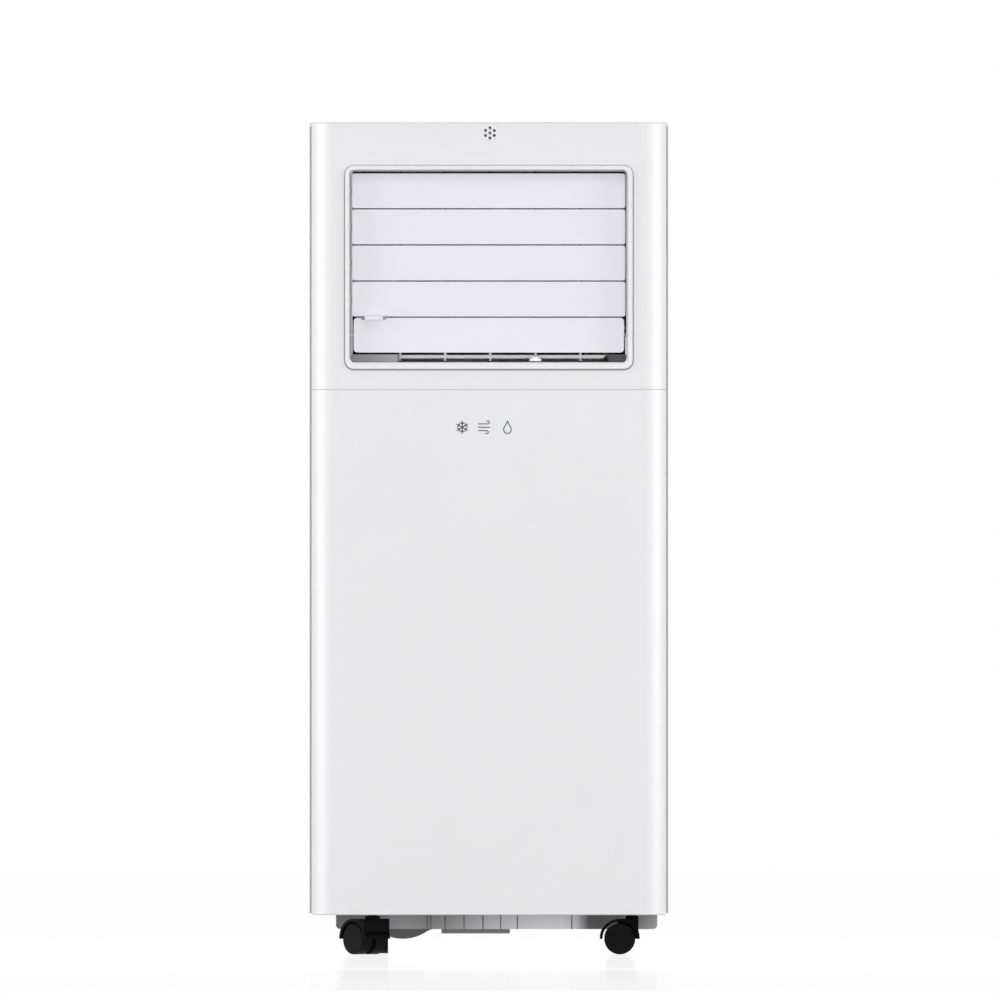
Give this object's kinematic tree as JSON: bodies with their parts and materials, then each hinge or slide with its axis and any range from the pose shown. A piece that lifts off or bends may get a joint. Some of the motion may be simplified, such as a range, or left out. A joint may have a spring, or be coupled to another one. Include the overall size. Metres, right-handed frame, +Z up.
{
  "type": "portable air conditioner",
  "caption": "Slim upright air conditioner on casters with a tilting louvre, lid controls, rear filter door, exhaust port and side grips.",
  "frame": {"origin": "on the floor under the middle of the object's box", "axes": "+Z up; the front with the louvre faces -Y; +X is to the right seen from the front"},
  "size_m": [0.303, 0.322, 0.703],
  "materials": {
    "casing_white": "satin",
    "louvre_white": "satin",
    "frame_white": "gloss",
    "duct_grey": "matte",
    "link_white": "satin",
    "grille_white": "satin",
    "filter_mesh": "woven nylon",
    "control_black": "gloss",
    "button_grey": "satin",
    "window_clear": "tinted",
    "board_green": "satin",
    "pan_grey": "matte",
    "sump_dark": "matte",
    "stiffener_grey": "matte",
    "caster_black": "satin",
    "wheel_black": "satin",
    "gland_rubber": "matte",
    "plug_rubber": "matte",
    "screw_steel": "zinc",
    "scroll_foam": "matte",
    "blower_plastic": "matte",
    "motor_steel": "satin",
    "tray_white": "matte",
    "fin_aluminium": "bare fins",
    "compressor_black": "gloss paint",
    "pipe_copper": "bare tube",
    "box_zinc": "zinc"
  },
  "bodies": {
    "cabinet": {"front_lower_panel": "casing_white", "front_upper_panel": "casing_white", "side_panel_left": "casing_white", "side_panel_right": "casing_white", "back_panel": "casing_white", "top_cover": "casing_white", "control_plate": "control_black", "display_window": "window_clear", "control_board": "board_green", "louvre_frame": "frame_white", "outlet_duct": "duct_grey", "lower_grille": "grille_white", "exhaust_port": "grille_white", "cord_gland": "gland_rubber", "back_screws": "screw_steel", "base_pan": "pan_grey", "sump_bowl": "sump_dark", "base_stiffener": "stiffener_grey", "upper_scroll": "scroll_foam", "upper_motor": "motor_steel", "lower_scroll": "scroll_foam", "lower_motor": "motor_steel", "drip_tray": "tray_white", "evaporator_coil": "fin_aluminium", "condenser_coil": "fin_aluminium", "compressor": "compressor_black", "refrigerant_pipes": "pipe_copper", "electrical_box": "box_zinc", "splash_motor": "motor_steel"},
    "blade_1": {"louvre_blade_1": "louvre_white"},
    "blade_2": {"louvre_blade_2": "louvre_white"},
    "blade_3": {"louvre_blade_3": "louvre_white"},
    "blade_4": {"louvre_blade_4": "louvre_white"},
    "blade_5": {"louvre_blade_5": "louvre_white"},
    "blade_link": {"blade_link": "link_white"},
    "vane_1": {"vane_1": "link_white"},
    "vane_2": {"vane_2": "link_white"},
    "vane_3": {"vane_3": "link_white"},
    "vane_4": {"vane_4": "link_white"},
    "vane_5": {"vane_5": "link_white"},
    "vane_link": {"vane_link": "link_white"},
    "filter": {"filter_door": "grille_white", "filter_mesh": "filter_mesh"},
    "upper_plug": {"upper_drain_plug": "plug_rubber"},
    "lower_plug": {"lower_drain_plug": "plug_rubber"},
    "power_key": {"power_button": "button_grey"},
    "mode_key": {"mode_button": "button_grey"},
    "speed_key": {"speed_button": "button_grey"},
    "temperature_key": {"temperature_rocker": "button_grey"},
    "upper_fan": {"upper_blower": "blower_plastic"},
    "lower_fan": {"lower_blower": "blower_plastic"},
    "splasher": {"splash_wheel": "blower_plastic"},
    "swivel_front_left": {"caster_front_left": "caster_black"},
    "rollers_front_left": {"wheels_front_left": "wheel_black"},
    "swivel_front_right": {"caster_front_right": "caster_black"},
    "rollers_front_right": {"wheels_front_right": "wheel_black"},
    "swivel_rear_left": {"caster_rear_left": "caster_black"},
    "rollers_rear_left": {"wheels_rear_left": "wheel_black"},
    "swivel_rear_right": {"caster_rear_right": "caster_black"},
    "rollers_rear_right": {"wheels_rear_right": "wheel_black"}
  },
  "joints": [
    {"name": "blade_1_tilt", "type": "hinge", "parent": "cabinet", "child": "blade_1", "pos_m": [0, -0.147, 0.6453], "axis": [-1, 0, 0], "range_deg": [0, 85]},
    {"name": "blade_2_tilt", "type": "hinge", "parent": "cabinet", "child": "blade_2", "pos_m": [0, -0.147, 0.6148], "axis": [-1, 0, 0], "range_deg": [0, 85]},
    {"name": "blade_3_tilt", "type": "hinge", "parent": "cabinet", "child": "blade_3", "pos_m": [0, -0.147, 0.5843], "axis": [-1, 0, 0], "range_deg": [0, 85]},
    {"name": "blade_4_tilt", "type": "hinge", "parent": "cabinet", "child": "blade_4", "pos_m": [0, -0.147, 0.5538], "axis": [-1, 0, 0], "range_deg": [0, 85]},
    {"name": "blade_5_tilt", "type": "hinge", "parent": "cabinet", "child": "blade_5", "pos_m": [0, -0.147, 0.5233], "axis": [-1, 0, 0], "range_deg": [0, 85]},
    {"name": "blade_link_pivot", "type": "hinge", "parent": "blade_3", "child": "blade_link", "pos_m": [0.1164, -0.14036, 0.59038], "axis": [-1, 0, 0], "range_deg": [-85, 0]},
    {"name": "vane_1_swing", "type": "hinge", "parent": "cabinet", "child": "vane_1", "pos_m": [-0.075, -0.118, 0.585], "axis": [0, 0, 1], "range_deg": [-30, 30]},
    {"name": "vane_2_swing", "type": "hinge", "parent": "cabinet", "child": "vane_2", "pos_m": [-0.0369, -0.118, 0.585], "axis": [0, 0, 1], "range_deg": [-30, 30]},
    {"name": "vane_3_swing", "type": "hinge", "parent": "cabinet", "child": "vane_3", "pos_m": [0.0012, -0.118, 0.585], "axis": [0, 0, 1], "range_deg": [-30, 30]},
    {"name": "vane_4_swing", "type": "hinge", "parent": "cabinet", "child": "vane_4", "pos_m": [0.0393, -0.118, 0.585], "axis": [0, 0, 1], "range_deg": [-30, 30]},
    {"name": "vane_5_swing", "type": "hinge", "parent": "cabinet", "child": "vane_5", "pos_m": [0.0774, -0.118, 0.585], "axis": [0, 0, 1], "range_deg": [-30, 30]},
    {"name": "vane_link_pivot", "type": "hinge", "parent": "vane_3", "child": "vane_link", "pos_m": [0.0012, -0.138, 0.505], "axis": [0, 0, 1], "range_deg": [-30, 30]},
    {"name": "filter_tilt", "type": "hinge", "parent": "cabinet", "child": "filter", "pos_m": [0, 0.1495, 0.4435], "axis": [-1, 0, 0], "range_deg": [0, 70]},
    {"name": "upper_plug_pull", "type": "slide", "parent": "cabinet", "child": "upper_plug", "axis": [0, 1, 0], "range_m": [0, 0.03]},
    {"name": "lower_plug_pull", "type": "slide", "parent": "cabinet", "child": "lower_plug", "axis": [0, 1, 0], "range_m": [0, 0.03]},
    {"name": "power_press", "type": "slide", "parent": "cabinet", "child": "power_key", "axis": [0, 0, -1], "range_m": [0, 0.0008], "stiffness_N_per_m": 600, "springref_m": -0.0005},
    {"name": "mode_press", "type": "slide", "parent": "cabinet", "child": "mode_key", "axis": [0, 0, -1], "range_m": [0, 0.0008], "stiffness_N_per_m": 600, "springref_m": -0.0005},
    {"name": "speed_press", "type": "slide", "parent": "cabinet", "child": "speed_key", "axis": [0, 0, -1], "range_m": [0, 0.0008], "stiffness_N_per_m": 600, "springref_m": -0.0005},
    {"name": "temperature_rock", "type": "hinge", "parent": "cabinet", "child": "temperature_key", "pos_m": [0.048, -0.09, 0.6989], "axis": [1, 0, 0], "range_deg": [-2.5, 2.5], "stiffness_Nm_per_rad": 0.3},
    {"name": "upper_fan_spin", "type": "hinge", "parent": "cabinet", "child": "upper_fan", "pos_m": [0, -0.05, 0.53], "axis": [0, 1, 0], "continuous": true},
    {"name": "lower_fan_spin", "type": "hinge", "parent": "cabinet", "child": "lower_fan", "pos_m": [0, -0.035, 0.32], "axis": [0, 0, 1], "continuous": true},
    {"name": "splash_spin", "type": "hinge", "parent": "cabinet", "child": "splasher", "pos_m": [-0.0726, 0.052, 0.0601], "axis": [0, 1, 0], "continuous": true},
    {"name": "front_left_swivel", "type": "hinge", "parent": "cabinet", "child": "swivel_front_left", "pos_m": [-0.0983, -0.122, 0.03], "axis": [0, 0, 1], "continuous": true},
    {"name": "front_left_roll", "type": "hinge", "parent": "swivel_front_left", "child": "rollers_front_left", "pos_m": [-0.10498, -0.11403, 0.0131], "axis": [-0.766, -0.6428, 0], "continuous": true},
    {"name": "front_right_swivel", "type": "hinge", "parent": "cabinet", "child": "swivel_front_right", "pos_m": [0.121, -0.122, 0.03], "axis": [0, 0, 1], "continuous": true},
    {"name": "front_right_roll", "type": "hinge", "parent": "swivel_front_right", "child": "rollers_front_right", "pos_m": [0.1106, -0.122, 0.0131], "axis": [0, -1, 0], "continuous": true},
    {"name": "rear_left_swivel", "type": "hinge", "parent": "cabinet", "child": "swivel_rear_left", "pos_m": [-0.0983, 0.114, 0.03], "axis": [0, 0, 1], "continuous": true},
    {"name": "rear_left_roll", "type": "hinge", "parent": "swivel_rear_left", "child": "rollers_rear_left", "pos_m": [-0.0983, 0.1244, 0.0131], "axis": [-1, 0, 0], "continuous": true},
    {"name": "rear_right_swivel", "type": "hinge", "parent": "cabinet", "child": "swivel_rear_right", "pos_m": [0.121, 0.114, 0.03], "axis": [0, 0, 1], "continuous": true},
    {"name": "rear_right_roll", "type": "hinge", "parent": "swivel_rear_right", "child": "rollers_rear_right", "pos_m": [0.1106, 0.114, 0.0131], "axis": [0, -1, 0], "continuous": true}
  ],
  "couplings": [
    {"joint": "blade_2_tilt", "follows": "blade_1_tilt", "ratio": 1},
    {"joint": "blade_3_tilt", "follows": "blade_1_tilt", "ratio": 1},
    {"joint": "blade_4_tilt", "follows": "blade_1_tilt", "ratio": 1},
    {"joint": "blade_5_tilt", "follows": "blade_1_tilt", "ratio": 1},
    {"joint": "blade_link_pivot", "follows": "blade_1_tilt", "ratio": -1},
    {"joint": "vane_1_swing", "follows": "vane_4_swing", "ratio": 1},
    {"joint": "vane_2_swing", "follows": "vane_4_swing", "ratio": 1},
    {"joint": "vane_3_swing", "follows": "vane_4_swing", "ratio": 1},
    {"joint": "vane_5_swing", "follows": "vane_4_swing", "ratio": 1},
    {"joint": "vane_link_pivot", "follows": "vane_4_swing", "ratio": -1}
  ]
}
